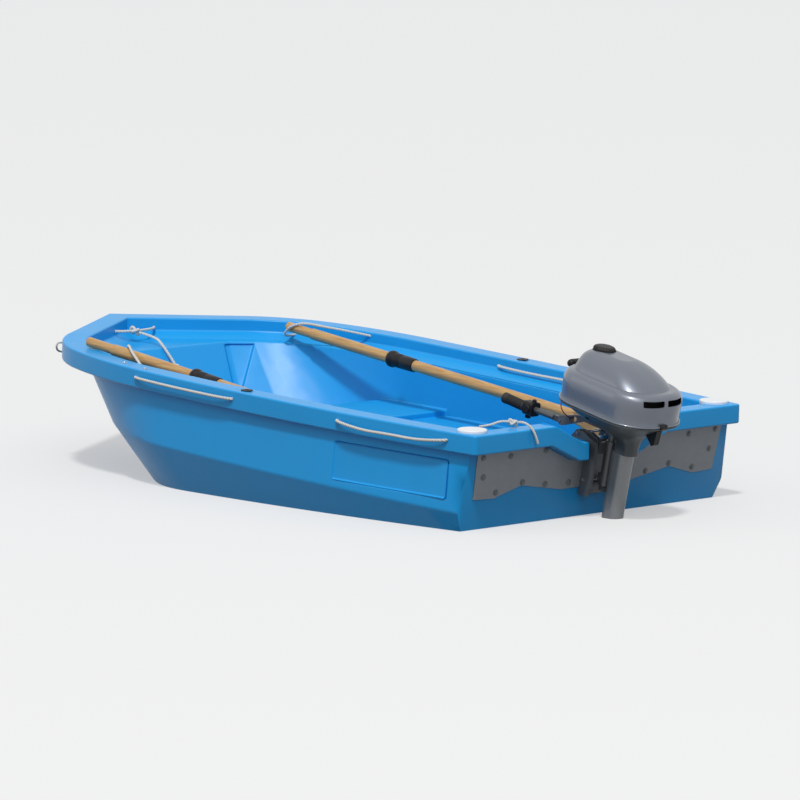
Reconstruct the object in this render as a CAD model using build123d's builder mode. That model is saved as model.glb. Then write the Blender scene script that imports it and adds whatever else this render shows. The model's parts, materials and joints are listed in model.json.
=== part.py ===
"""Small moulded motor dinghy, 2.40 m, with a 2 hp class tiller outboard.

Frame: origin on the centreline amidships at the still waterline,
+X to the bow, +Y to port, +Z up.  Millimetres.
"""
import os
from math import atan2, cos, radians, sin, tan

from build123d import *

# ---------------------------------------------------------------- hull sizes
LENGTH = 2400.0            # rim to rim
STERN_X = -LENGTH / 2
BOW_X = LENGTH / 2
RIM_TOP_STERN = 352.0      # rim top above water at the transom
SHEER_RISE = 49.0          # how much higher the rim is at the bow
SHEER_SAG = 8.5            # how far the sheer dips below a straight line amidships
RIM_DEPTH = 62.0           # turned-down edge of the rim
RIM_WIDTH = 80.0
WIDEST_HALF = 655.0
WIDEST_X = BOW_X - 900
QUARTER_HALF = WIDEST_HALF - 5
QUARTER_X = STERN_X + 750
TRANSOM_HALF = WIDEST_HALF - 61
CHEEK = (BOW_X - 500, WIDEST_HALF - 68)      # where the side starts to turn in
SHOULDER = (BOW_X - 250, WIDEST_HALF - 253)  # where it meets the straight bow side
CORNER_RADIUS = 16.0
HULL_BOTTOM = -115.0       # keel below the water
RAKE = 10.5                # transom lean, degrees
TRANSOM_OUT = (STERN_X + 38.5, 290.0)   # point of the outer transom face, x and z
TRANSOM_WALL = 44.0
CHINE_Z = 133.0            # chine height amidships
CHINE_TILT = 1.6

# how far each waterplane of the hull lies inside the rim's outline:
# inset all round, and setback of the bow
UNDER_RIM = (27.0, 70.0)
CHINE = (11.0, 232.0)
BILGE = (68.0, 352.0)
SOLE = (116.0, 440.0)
BILGE_Z = -20.0

TUNNEL_Y = WIDEST_HALF - 325          # ridge of each tunnel between the keels
TUNNEL_HALF = 100.0
TUNNEL_HIGH = 52.0
TUNNEL_STRAIGHT_TO = BOW_X - 800
TUNNEL_BOW_HIGH = 84.0

# ---------------------------------------------------------------- cockpit
INNER_WALL = 45.0          # height of the wall inside the rim
LEDGE_WIDE = 45.0
LEDGE_DROP = 22.0
WELL_FRONT = BOW_X - 315
WELL_INSET = 130.0
FOOT_INSET = 90.0          # the well's foot inside the bilge line
FOOT_FRONT = BOW_X - 577
FLOOR_Z = -30.0
THWART = (BOW_X - 1130, BOW_X - 830)    # from, to along X
THWART_Z = 172.0
BENCH_Y = WIDEST_HALF - 293          # inner edge of the side benches
BENCH_Z = 150.0

POCKET_FROM = 372.0        # pocket's forward edge, along the bow's side
POCKET_WIDE = 104.0
POCKET_TOP = 316.0
POCKET_LOW = 168.0
POCKET_TAPER = 60.0
POCKET_DEEP = 9.0
PANEL_FORE = STERN_X + 597     # bare panels on the quarters
PANEL_AFT = STERN_X + 125
PANEL_Z = 200.0
PANEL_HIGH = 118.0
PANEL_DEEP = 2.0

# ---------------------------------------------------------------- motor notch
NOTCH_TOP_HALF = 242.0
NOTCH_FLOOR_HALF = 116.0
NOTCH_FLOOR_Z = 290.0
PAD_HALF = 90.0            # the lip is cut away here for the clamp

# ---------------------------------------------------------------- transom plates
PLATE = 3.0
PLATE_HALF = TRANSOM_HALF - 49
PLATE_TOP_Z = 286.0
PLATE_LOW_Z = 137.0
PLATE_PEAK_Z = 167.0
INNER_PLATE = (300.0, 150.0, 4.0)

ROWLOCK_X = STERN_X + 1020          # rowlock sockets
ROWLOCK_R = 6.5
ROWLOCK_DEEP = 50.0
ROWLOCK_WALL = 3.5
ROWLOCK_FLANGE_R = 19.0
CAP_X = STERN_X + 70          # white caps on the rim's corners
CAP_Y = TRANSOM_HALF - 54
CAP_R = 47.0
CAP_SEAT_Z = 350.0
CAP_HIGH = 12.0

# ---------------------------------------------------------------- outboard
SWIVEL_AHEAD = 45.0        # transom face to swivel axis
SHAFT_R = 12.0
SWIVEL_TUBE_R = 18.0
RUN_FIT = 0.06
CLAMP_HALF = 70.0
CLAMP_PLATE = 12.0
SCREW_Z = -75.0
SCREW_R = 5.0
EAR_OUT = 52.0
TILT_PIN = (85.0, 2.0)     # tilt axis ahead of and above the swivel's origin
TILT_BOSS_R = 12.0
TILT_PIN_R = 5.0
THRUST_ROD = (28.0, -135.0)
LEG_X = -57.0              # drive shaft axis behind the swivel axis
LEG_LONG = 68.0
LEG_WIDE = 62.0
LEG_TOP_Z = -22.0
LEG_FOOT_Z = -400.0
YOKE_TO = 22.8
HEAD_LOW = 21.0            # steering head, above the tilt pin
HEAD_TOP = 38.0
NECK_Z = -21.7
SEAM_Z = 104.0
SEAM_GAP = 0.5
COWL_WALL = 4.0
COWL_X = -8.0
COWL_LONG = 390.0
COWL_WIDE = 280.0
COWL_TOP = 268.0
BROW_Z = 202.0             # the flanks end here and the dome begins
LOUVRE_Z = 182.0
LOUVRE_HIGH = 20.0
LOUVRE_WIDE = 78.0
LOUVRE_OUT = 46.0
QUARTER_LOUVRE_X = COWL_X - COWL_LONG / 2 + 76
CAP_AHEAD = 97.0
FUEL_CAP_R = 38.0
FUEL_SEAT_Z = 250.0
STARTER_X = COWL_X + COWL_LONG / 2 + 18
STARTER_Z = 187.0
VENT_PLATE_Z = -412.0
PROP_Z = -515.0
SKEG_Z = -622.0
PROP_R = 92.0
PROP_SHAFT_R = 7.0
HUB_R = 21.0
HUB_LONG = 58.0
BLADES = 3
BLADE_PITCH = 58.0
TILLER_PIN = (225.0, -8.0)
TILLER_PIN_R = 4.0
TILLER_EYE = 13.0
TILLER_DROOP = 2.6
TILLER_END = 490.0
GRIP_LONG = 98.0
GRIP_R = 17.0

# ---------------------------------------------------------------- oars
OAR_R = 19.0
OAR_HANDLE_R = 16.0
BLADE_LONG = 440.0
OAR_BLADE_WIDE = 128.0
COLLAR_FROM = 500.0
COLLAR_LONG = 120.0
ROPE_R = 5.0
ROPE_OFF = 14.0            # ropes stand this far off the rim's edge
ROPE_BELOW = 26.0          # and this far below its top
BEND_SHARE = 0.45

os.makedirs("parts", exist_ok=True)
made = []


def keep(piece, name):
    """Label a finished piece and write its file."""
    piece.part.label = name
    export_step(piece.part, f"parts/{name}.step")
    made.append(name)


# ================================================================ the hull
def plan(inset=0.0, setback=0.0, inward=0.0):
    """The boat's outline seen from above, its bow set back and its edge moved inward."""
    with BuildSketch() as outline:
        with BuildLine():
            stern = (STERN_X - 60, TRANSOM_HALF - 7 - inset)
            side = ThreePointArc(
                stern,
                (QUARTER_X - setback / 4, QUARTER_HALF - inset),
                (WIDEST_X - setback / 2, WIDEST_HALF - inset),
            )
            cheek = TangentArc(
                side @ 1, (CHEEK[0] - setback, CHEEK[1] - inset), tangent=side % 1
            )
            shoulder = TangentArc(
                cheek @ 1, (SHOULDER[0] - setback, SHOULDER[1] - inset), tangent=cheek % 1
            )
            Line(shoulder @ 1, (BOW_X - setback, 0))
            mirror(about=Plane.XZ)
            Line(stern, (stern[0], -stern[1]))
        make_face()
        if inward:
            offset(amount=-inward, kind=Kind.INTERSECTION, mode=Mode.REPLACE)
    return outline.sketch


def rim_edge(x):
    """Port half-width of the rim and its top, at a station."""
    (x1, y1), (x2, y2), (x3, y3) = ((STERN_X - 60, TRANSOM_HALF - 7),
                                    (QUARTER_X, QUARTER_HALF), (WIDEST_X, WIDEST_HALF))
    a = (y1 - y2) / (x1 - x2)
    b = (y2 - y3) / (x2 - x3)
    bend = (a - b) / (x1 - x3)
    half = y2 + a * (x - x2) + bend * (x - x2) * (x - x1)
    t = (x - STERN_X) / LENGTH
    return half, RIM_TOP_STERN + SHEER_RISE * t - 4 * SHEER_SAG * t * (1 - t)


def sheer_plane(depth):
    """Straight-line sheer, lowered by depth."""
    tilt = atan2(SHEER_RISE, LENGTH)
    height = RIM_TOP_STERN + SHEER_RISE / 2 - depth
    return Plane(origin=(0, 0, height), x_dir=(cos(tilt), 0, sin(tilt)),
                 z_dir=(-sin(tilt), 0, cos(tilt)))


def tilted(height, angle):
    a = radians(angle)
    return Plane(origin=(0, 0, height), x_dir=(cos(a), 0, sin(a)),
                 z_dir=(-sin(a), 0, cos(a)))


rake = radians(RAKE)
swivel_x = TRANSOM_OUT[0] - SWIVEL_AHEAD / cos(rake)
motor = Plane(origin=(swivel_x, 0, NOTCH_FLOOR_Z), x_dir=(cos(rake), 0, sin(rake)),
              z_dir=(-sin(rake), 0, cos(rake)))
FACE_OUT = SWIVEL_AHEAD                      # outer transom face, motor frame
FACE_IN = FACE_OUT + TRANSOM_WALL            # inner transom face, motor frame


def level(height):
    """Plane square to the outboard's leg."""
    return motor.offset(height)


def profile(side=0.0):
    """Fore-and-aft plane of the outboard, x ahead and y up."""
    return Plane(origin=motor.origin + motor.y_dir * side, x_dir=motor.x_dir,
                 z_dir=-motor.y_dir)


def square(ahead):
    """Cross plane of the outboard, x to port and y up, facing ahead."""
    return Plane(origin=motor.origin + motor.x_dir * ahead, x_dir=motor.y_dir,
                 z_dir=motor.x_dir)


def spot(ahead, port, up):
    """A point given in the outboard's own frame."""
    return motor.origin + motor.x_dir * ahead + motor.y_dir * port + motor.z_dir * up


def tunnel(side):
    """One tunnel between the centre keel and a side keel."""
    low = HULL_BOTTOM - 20
    ridge = HULL_BOTTOM + TUNNEL_HIGH
    bow_ridge = HULL_BOTTOM + TUNNEL_BOW_HIGH
    spread = TUNNEL_HALF * (1 + 20 / TUNNEL_HIGH)
    stations = [
        (STERN_X - 50, ridge, spread),
        (TUNNEL_STRAIGHT_TO, ridge, spread),
        (BOW_X - 60, bow_ridge, spread * 1.35),
    ]
    with BuildPart() as hollow:
        for first, last in zip(stations, stations[1:]):
            for x, top, half in (first, last):
                with BuildSketch(Plane(origin=(x, 0, 0), x_dir=(0, 1, 0), z_dir=(1, 0, 0))):
                    with BuildLine():
                        Polyline((side * TUNNEL_Y, top),
                                 (side * (TUNNEL_Y - half), low),
                                 (side * (TUNNEL_Y + half), low), close=True)
                    make_face()
            loft(ruled=True)
    return hollow.part


def bow_wall(side):
    """Upright plane along the straight side of the bow, x running aft and y up."""
    aft = Vector(SHOULDER[0] - BOW_X, side * SHOULDER[1], 0).normalized()
    return Plane(origin=(BOW_X, 0, 0), x_dir=aft, z_dir=aft.cross(Vector(0, 0, 1)))


def well_form(grow=0.0):
    """The well below the ledge, its front wall raking with the stem."""
    with BuildPart() as well:
        with BuildSketch(sheer_plane(INNER_WALL)):
            add(plan(inward=WELL_INSET - grow))
            with Locations((WELL_FRONT + grow - LENGTH / 2, 0)):
                Rectangle(LENGTH, LENGTH, mode=Mode.INTERSECT)
        with BuildSketch(Plane.XY.offset(FLOOR_Z)):
            add(plan(*BILGE, inward=FOOT_INSET - grow))
            with Locations((FOOT_FRONT + grow - LENGTH / 2, 0)):
                Rectangle(LENGTH, LENGTH, mode=Mode.INTERSECT)
        loft(ruled=True)
    return well.part


def topside(x, z):
    """Half-width of the topside at a station and height."""
    share = (RIM_TOP_STERN - RIM_DEPTH / 2 - z) / (RIM_TOP_STERN - RIM_DEPTH / 2 - CHINE_Z)
    return rim_edge(x)[0] - UNDER_RIM[0] - (CHINE[0] - UNDER_RIM[0]) * share


# the space inside the boat, cut out of the hull
with BuildPart() as cockpit:
    for depth, inward in ((-60, RIM_WIDTH), (INNER_WALL, RIM_WIDTH),
                          (INNER_WALL + LEDGE_DROP, RIM_WIDTH + LEDGE_WIDE)):
        with BuildSketch(sheer_plane(depth)):
            add(plan(inward=inward))
    loft(ruled=True)
    add(well_form())
    # thwart and side benches stand in the well
    with Locations(((THWART[0] + THWART[1]) / 2, 0, THWART_Z - 150)):
        Box(THWART[1] - THWART[0], LENGTH, 300, mode=Mode.SUBTRACT)
    for side in (1, -1):
        with Locations((THWART[0] - LENGTH / 2, side * (BENCH_Y + 200), BENCH_Z - 150)):
            Box(LENGTH, 400, 300, mode=Mode.SUBTRACT)
    # pockets in the well's forward corners
    for side in (1, -1):
        with BuildPart(mode=Mode.PRIVATE) as pocket:
            with BuildSketch(bow_wall(side)):
                with BuildLine():
                    Polyline((POCKET_FROM, POCKET_TOP), (POCKET_FROM + POCKET_WIDE, POCKET_TOP),
                             (POCKET_FROM + POCKET_WIDE - POCKET_TAPER, POCKET_LOW),
                             (POCKET_FROM + POCKET_TAPER / 3, POCKET_LOW), close=True)
                make_face()
            extrude(amount=LENGTH / 4, both=True)
            add(well_form(POCKET_DEEP), mode=Mode.INTERSECT)
        add(pocket.part)
    split(bisect_by=Plane(origin=spot(FACE_IN, 0, 0), x_dir=(0, 1, 0), z_dir=motor.x_dir),
          keep=Keep.TOP)

with BuildPart() as hull:
    # topsides, flaring up to the rim
    with BuildSketch(sheer_plane(RIM_DEPTH / 2)):
        add(plan(*UNDER_RIM))
    with BuildSketch(tilted(CHINE_Z, CHINE_TILT)):
        add(plan(*CHINE))
    loft(ruled=True)
    # below the hard chine the sides turn in towards the sole
    with BuildSketch(tilted(CHINE_Z, CHINE_TILT)):
        add(plan(*CHINE))
    with BuildSketch(Plane.XY.offset(BILGE_Z)):
        add(plan(*BILGE))
    with BuildSketch(Plane.XY.offset(HULL_BOTTOM)):
        add(plan(*SOLE))
    loft(ruled=True)
    # shallow bare panels let into both quarters
    for side in (1, -1):
        fore = Vector(PANEL_FORE, side * topside(PANEL_FORE, PANEL_Z), PANEL_Z)
        aft = Vector(PANEL_AFT, side * topside(PANEL_AFT, PANEL_Z), PANEL_Z)
        lean = Vector(0, side * (topside(PANEL_AFT, PANEL_Z + 10) - topside(PANEL_AFT, PANEL_Z)),
                      10)
        out = (fore - aft).cross(lean).normalized() * -side
        with BuildSketch(Plane(origin=(fore + aft) / 2 - out * PANEL_DEEP, x_dir=fore - aft,
                               z_dir=out)):
            RectangleRounded((fore - aft).length, PANEL_HIGH, 6)
        extrude(amount=30, taper=-12, mode=Mode.SUBTRACT)
    for side in (1, -1):
        add(tunnel(side), mode=Mode.SUBTRACT)
    split(bisect_by=Plane(origin=spot(FACE_OUT, 0, 0), x_dir=(0, 1, 0), z_dir=motor.x_dir),
          keep=Keep.TOP)

    # the rim follows the sheer
    with BuildPart(mode=Mode.PRIVATE) as rim:
        with BuildSketch(Plane.XY.offset(200)):
            add(plan())
            with Locations((STERN_X + LENGTH, 0)):
                Rectangle(2 * LENGTH, LENGTH, mode=Mode.INTERSECT)
            fillet(vertices().group_by(Axis.X)[0], CORNER_RADIUS)
        extrude(amount=400)
        with BuildSketch(Plane.XZ):
            with BuildLine():
                mid = RIM_TOP_STERN + SHEER_RISE / 2 - SHEER_SAG
                top = ThreePointArc((STERN_X, RIM_TOP_STERN), (0, mid),
                                    (BOW_X, RIM_TOP_STERN + SHEER_RISE))
                low = ThreePointArc((STERN_X, RIM_TOP_STERN - RIM_DEPTH),
                                    (0, mid - RIM_DEPTH),
                                    (BOW_X, RIM_TOP_STERN + SHEER_RISE - RIM_DEPTH))
                Line(top @ 0, low @ 0)
                Line(top @ 1, low @ 1)
            make_face()
        extrude(amount=LENGTH, both=True, mode=Mode.INTERSECT)
    add(rim.part)

    # lip of the motor notch
    lip_foot = NOTCH_FLOOR_Z - RIM_DEPTH + 4
    with BuildSketch(Plane(origin=(STERN_X, 0, 0), x_dir=(0, 1, 0), z_dir=(1, 0, 0))):
        with BuildLine():
            edge = NOTCH_TOP_HALF + 14
            Polyline((-edge, NOTCH_FLOOR_Z + 10), (-edge, RIM_TOP_STERN - RIM_DEPTH),
                     (-NOTCH_FLOOR_HALF - 14, lip_foot), (NOTCH_FLOOR_HALF + 14, lip_foot),
                     (edge, RIM_TOP_STERN - RIM_DEPTH), (edge, NOTCH_FLOOR_Z + 10),
                     close=True)
        make_face()
    extrude(amount=60)
    with BuildSketch(Plane(origin=(STERN_X - 20, 0, 0), x_dir=(0, 1, 0), z_dir=(1, 0, 0))):
        with BuildLine():
            Polyline((-NOTCH_TOP_HALF, RIM_TOP_STERN), (-NOTCH_FLOOR_HALF, NOTCH_FLOOR_Z),
                     (NOTCH_FLOOR_HALF, NOTCH_FLOOR_Z), (NOTCH_TOP_HALF, RIM_TOP_STERN),
                     (NOTCH_TOP_HALF, RIM_TOP_STERN + 40),
                     (-NOTCH_TOP_HALF, RIM_TOP_STERN + 40), close=True)
        make_face()
    extrude(amount=140, mode=Mode.SUBTRACT)
    # flat pad for the clamp
    with BuildSketch(level(-120)):
        with Locations((FACE_OUT - 50, 0)):
            Rectangle(100, 2 * PAD_HALF)
    extrude(amount=200, mode=Mode.SUBTRACT)
    add(cockpit.part, mode=Mode.SUBTRACT)
    # holes in the rim for the rowlock sockets
    for side in (1, -1):
        with BuildSketch(Plane.XY.offset(rim_edge(ROWLOCK_X)[1] - ROWLOCK_DEEP)):
            with Locations((ROWLOCK_X, side * (rim_edge(ROWLOCK_X)[0] - RIM_WIDTH / 2))):
                Circle(ROWLOCK_R + ROWLOCK_WALL + 0.1)
        extrude(amount=ROWLOCK_DEEP + 20, mode=Mode.SUBTRACT)
    # seats for the corner caps
    for side in (1, -1):
        with BuildSketch(Plane.XY.offset(CAP_SEAT_Z)):
            with Locations((CAP_X, side * CAP_Y)):
                Circle(CAP_R + 0.3)
        extrude(amount=20, mode=Mode.SUBTRACT)
keep(hull, "hull")

# ================================================================ transom plates
def up_for(height, ahead):
    """Motor-frame height of a world height on the cross plane at `ahead`."""
    return (height - NOTCH_FLOOR_Z - ahead * sin(rake)) / cos(rake)


def cross_outline(points, ahead):
    """Points given as port and world height, on the cross plane at `ahead`."""
    return [(y, up_for(z, ahead)) for y, z in points]


half_plate = [(0, PLATE_TOP_Z), (PAD_HALF - 2, PLATE_TOP_Z), (PAD_HALF - 2, lip_foot - 3),
              (NOTCH_FLOOR_HALF + 12, lip_foot - 3), (NOTCH_TOP_HALF + 12, PLATE_TOP_Z),
              (PLATE_HALF, PLATE_TOP_Z), (PLATE_HALF - 11, PLATE_LOW_Z + 2),
              (445, PLATE_LOW_Z - 2), (TUNNEL_Y, PLATE_PEAK_Z), (150, PLATE_LOW_Z),
              (0, PLATE_LOW_Z)]
with BuildPart() as transom_plate:
    with BuildSketch(square(FACE_OUT - PLATE)):
        with BuildLine():
            Polyline(*cross_outline(half_plate, FACE_OUT - PLATE))
            mirror(about=Plane.YZ)
        make_face()
    extrude(amount=PLATE)
keep(transom_plate, "transom_plate")

with BuildPart() as inner_plate:
    with BuildSketch(square(FACE_IN)):
        with Locations((0, up_for(NOTCH_FLOOR_Z - 10, FACE_IN) - INNER_PLATE[1] / 2)):
            RectangleRounded(INNER_PLATE[0] - 70, INNER_PLATE[1], 12)
    extrude(amount=INNER_PLATE[2])
keep(inner_plate, "inner_plate")

with BuildPart() as corner_caps:
    for side in (1, -1):
        with BuildSketch(Plane.XY.offset(CAP_SEAT_Z)):
            with Locations((CAP_X, side * CAP_Y)):
                Circle(CAP_R)
        extrude(amount=CAP_HIGH)
    fillet(corner_caps.edges().group_by(Axis.Z)[-1], 5)
keep(corner_caps, "corner_caps")

with BuildPart() as rowlock_sockets:
    for side in (1, -1):
        half, top = rim_edge(ROWLOCK_X)
        with BuildSketch(Plane.XY.offset(top + 0.5)):
            with Locations((ROWLOCK_X, side * (half - RIM_WIDTH / 2))):
                Circle(ROWLOCK_FLANGE_R)
        extrude(amount=3)
        with BuildSketch(Plane.XY.offset(top - ROWLOCK_DEEP)):
            with Locations((ROWLOCK_X, side * (half - RIM_WIDTH / 2))):
                Circle(ROWLOCK_R + ROWLOCK_WALL)
        extrude(amount=ROWLOCK_DEEP + 2)
        with BuildSketch(Plane.XY.offset(top - ROWLOCK_DEEP)):
            with Locations((ROWLOCK_X, side * (half - RIM_WIDTH / 2))):
                Circle(ROWLOCK_R)
        extrude(amount=ROWLOCK_DEEP + 10, mode=Mode.SUBTRACT)
keep(rowlock_sockets, "rowlock_sockets")

# ================================================================ clamp bracket
arm_out = FACE_OUT - PLATE                   # the plate's face
arm_in = FACE_IN + INNER_PLATE[2] + 9        # clear of the inner plate
saddle_z = up_for(NOTCH_FLOOR_Z, arm_out) + 0.3
saddle_in = up_for(NOTCH_FLOOR_Z, arm_in) + 0.3
with BuildPart() as clamp_bracket:
    for side in (1, -1):
        with BuildSketch(profile(side * CLAMP_HALF)):
            with BuildLine():
                Polyline((2, -6), (-4, -40), (-4, -150), (8, -186), (arm_out, -186),
                         (arm_out, saddle_z), (arm_in, saddle_in), (arm_in, -98),
                         (arm_in + 12, -98), (arm_in + 12, -20),
                         (TILT_PIN[0] + 10, TILT_PIN[1] + 6), (TILT_PIN[0] - 8, TILT_PIN[1] + 9),
                         (50, 8), close=True)
            make_face()
            with Locations(TILT_PIN):
                Circle(TILT_BOSS_R)
            with Locations(TILT_PIN, THRUST_ROD):
                Circle(TILT_PIN_R + 0.02, mode=Mode.SUBTRACT)
        extrude(amount=side * CLAMP_PLATE)
        with BuildSketch(square(arm_in - 1)):
            with Locations((side * (CLAMP_HALF - CLAMP_PLATE / 2), SCREW_Z)):
                Circle(14)
        extrude(amount=18)
        with BuildSketch(square(arm_in - 10)):
            with Locations((side * (CLAMP_HALF - CLAMP_PLATE / 2), SCREW_Z)):
                Circle(SCREW_R + 0.1)
        extrude(amount=40, mode=Mode.SUBTRACT)
    # the web that joins the two sides, low down against the plate
    with BuildSketch(level(-186)):
        with Locations((arm_out - 6, 0)):
            Rectangle(12, 2 * CLAMP_HALF - CLAMP_PLATE)
    extrude(amount=36)
keep(clamp_bracket, "clamp_bracket")

with BuildPart() as clamp_screws:
    for side in (1, -1):
        y = side * (CLAMP_HALF - CLAMP_PLATE / 2)
        with BuildSketch(square(FACE_IN + INNER_PLATE[2])):
            with Locations((y, SCREW_Z)):
                Circle(17)
        extrude(amount=7)
        with BuildSketch(square(FACE_IN + INNER_PLATE[2])):
            with Locations((y, SCREW_Z)):
                Circle(SCREW_R)
        extrude(amount=62)
        with BuildSketch(square(FACE_IN + INNER_PLATE[2] + 56)):
            with Locations((y, SCREW_Z)):
                SlotOverall(58, 11, rotation=35)
        extrude(amount=8)
keep(clamp_screws, "clamp_screws")

with BuildPart() as tilt_pin:
    with BuildSketch(profile(-CLAMP_HALF - 4)):
        with Locations(TILT_PIN, THRUST_ROD):
            Circle(TILT_PIN_R)
    extrude(amount=-2 * CLAMP_HALF - 8)
keep(tilt_pin, "tilt_pin")

# ================================================================ swivel bracket
with BuildPart() as swivel_bracket:
    with BuildSketch(level(-150)):
        Circle(SWIVEL_TUBE_R)
    extrude(amount=146)
    with BuildSketch(level(-44)):
        with Locations((9, 0)):
            Rectangle(14, 2 * EAR_OUT)
    extrude(amount=36)
    for side in (1, -1):
        with BuildSketch(profile(side * EAR_OUT)):
            with BuildLine():
                Polyline((2, -44), (16, -44), (33, -14), (40, -2), (78, -4),
                         (TILT_PIN[0], TILT_PIN[1] - 6), (TILT_PIN[0] + 4, TILT_PIN[1] + 8),
                         (TILT_PIN[0], TILT_PIN[1] + 10), (42, 13), (16, 4), (2, -10),
                         close=True)
            make_face()
        extrude(amount=side * 12)
        with BuildSketch(profile(side * (CLAMP_HALF - CLAMP_PLATE - 0.3))):
            with Locations(TILT_PIN):
                Circle(TILT_BOSS_R - 2)
        extrude(amount=side * 12)
    with BuildSketch(level(THRUST_ROD[1] - 15)):
        with Locations(((THRUST_ROD[0] - TILT_PIN_R - 0.3 + 10) / 2, 0)):
            Rectangle(THRUST_ROD[0] - TILT_PIN_R - 0.3 - 10, 24)
    extrude(amount=36)
    with BuildSketch(profile(100)):
        with Locations(TILT_PIN):
            Circle(TILT_PIN_R + RUN_FIT)
    extrude(amount=200, mode=Mode.SUBTRACT)
    with BuildSketch(level(-160)):
        Circle(SHAFT_R + RUN_FIT)
    extrude(amount=200, mode=Mode.SUBTRACT)
keep(swivel_bracket, "swivel_bracket")

# ================================================================ steering head
with BuildPart() as steering_head:
    with BuildSketch(level(-166)):
        Circle(SHAFT_R)
    extrude(amount=200)
    with BuildSketch(level(-166)):
        with BuildLine():
            Polyline((-YOKE_TO, 17), (0, 17), (0, -17), (-YOKE_TO, -17), close=True)
        make_face()
        Circle(17)
    extrude(amount=13)
    with BuildSketch(profile(-11)):
        with BuildLine():
            Polyline((-24, HEAD_LOW), (120, HEAD_LOW), (146, 10), (TILLER_PIN[0] - 12, -21),
                     (TILLER_PIN[0], -21.5), (TILLER_PIN[0] + 12, -10),
                     (TILLER_PIN[0] + 6, 6), (150, 34), (60, HEAD_TOP), (-24, HEAD_TOP),
                     close=True)
        make_face()
        with Locations((TILLER_PIN[0] - 55, 13)):
            SlotOverall(34, 16, rotation=-24, mode=Mode.SUBTRACT)
    extrude(amount=-22)
    with BuildSketch(level(HEAD_LOW)):
        Circle(22)
    extrude(amount=HEAD_TOP - HEAD_LOW)
    # the tiller's fork
    with BuildSketch(profile(-TILLER_EYE / 2 - 0.5)):
        with Locations((TILLER_PIN[0] + 6, TILLER_PIN[1])):
            Rectangle(46, 60)
    extrude(amount=-TILLER_EYE - 1, mode=Mode.SUBTRACT)
    with BuildSketch(profile(-30)):
        with Locations(TILLER_PIN):
            Circle(TILLER_PIN_R + 0.02)
    extrude(amount=-60, mode=Mode.SUBTRACT)
keep(steering_head, "steering_head")

with BuildPart() as tiller_pin:
    with BuildSketch(profile(-14)):
        with Locations(TILLER_PIN):
            Circle(TILLER_PIN_R)
    extrude(amount=-28)
keep(tiller_pin, "tiller_pin")

# ================================================================ leg
with BuildPart() as leg:
    with BuildSketch(level(LEG_TOP_Z)):
        with Locations((LEG_X, 0)):
            RectangleRounded(LEG_LONG, LEG_WIDE, 24)
    with BuildSketch(level(-200)):
        with Locations((LEG_X, 0)):
            RectangleRounded(LEG_LONG, LEG_WIDE - 6, 24)
    with BuildSketch(level(LEG_FOOT_Z)):
        with Locations((LEG_X - 4, 0)):
            RectangleRounded(LEG_LONG + 14, 40, 19)
    loft(ruled=True)
keep(leg, "leg")

with BuildPart() as gearcase:
    with BuildSketch(level(VENT_PLATE_Z)):
        with Locations((LEG_X - 46, 0)):
            Ellipse(102, 56)
    extrude(amount=6)
    with BuildSketch(level(LEG_FOOT_Z)):
        with Locations((LEG_X - 4, 0)):
            RectangleRounded(LEG_LONG + 14, 40, 19)
    with BuildSketch(level(PROP_Z)):
        with Locations((LEG_X - 12, 0)):
            RectangleRounded(LEG_LONG + 26, 22, 10)
    loft()
    with BuildSketch(profile()):
        with BuildLine():
            Polyline((LEG_X + 70, PROP_Z), (LEG_X + 58, PROP_Z + 17), (LEG_X + 30, PROP_Z + 29),
                     (LEG_X - 30, PROP_Z + 31), (LEG_X - 84, PROP_Z + 24),
                     (LEG_X - 84, PROP_Z), close=True)
        make_face()
    revolve(axis=Axis(spot(0, 0, PROP_Z), motor.x_dir))
    with BuildSketch(profile(-3)):
        with BuildLine():
            Polyline((LEG_X + 50, PROP_Z), (LEG_X - 6, SKEG_Z + 8), (LEG_X - 30, SKEG_Z),
                     (LEG_X - 58, SKEG_Z + 6), (LEG_X - 60, PROP_Z), close=True)
        make_face()
    extrude(amount=-6)
    with BuildSketch(square(LEG_X - 100)):
        with Locations((0, PROP_Z)):
            Circle(PROP_SHAFT_R + RUN_FIT)
    extrude(amount=60, mode=Mode.SUBTRACT)
keep(gearcase, "gearcase")

with BuildPart() as propeller:
    hub_back = LEG_X - 84 - 1 - HUB_LONG
    with BuildSketch(square(hub_back)):
        with Locations((0, PROP_Z)):
            Circle(HUB_R)
    extrude(amount=HUB_LONG)
    with BuildSketch(square(hub_back)):
        with Locations((0, PROP_Z)):
            Circle(PROP_SHAFT_R)
    extrude(amount=HUB_LONG + 30)
    centre = spot(hub_back + HUB_LONG / 2, 0, PROP_Z)
    for blade in range(BLADES):
        turn = radians(360 / BLADES * blade)
        out = motor.z_dir * cos(turn) + motor.y_dir * sin(turn)
        around = motor.z_dir * -sin(turn) + motor.y_dir * cos(turn)
        pitch = radians(BLADE_PITCH)
        face = motor.x_dir * cos(pitch) + around * sin(pitch)
        with BuildSketch(Plane(origin=centre, x_dir=out, z_dir=face)):
            with Locations((PROP_R * 0.58, 0)):
                Ellipse(PROP_R * 0.42, 34)
            with Locations((PROP_R * 0.25, 0)):
                Rectangle(PROP_R * 0.4, 34)
        extrude(amount=2, both=True)
keep(propeller, "propeller")

# ================================================================ cowling
def oval(long, wide, bulge=0.82):
    """Rounded outline of the cowling."""
    with BuildSketch() as outline:
        RectangleRounded(long, wide, min(long, wide) / 2 * bulge)
    return outline.sketch


lower_stations = [(NECK_Z, -66, 80, 66), (26, -62, 92, 80), (48, -46, 150, 140),
                  (76, -22, 290, 230), (SEAM_Z, COWL_X, COWL_LONG, COWL_WIDE)]


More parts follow.
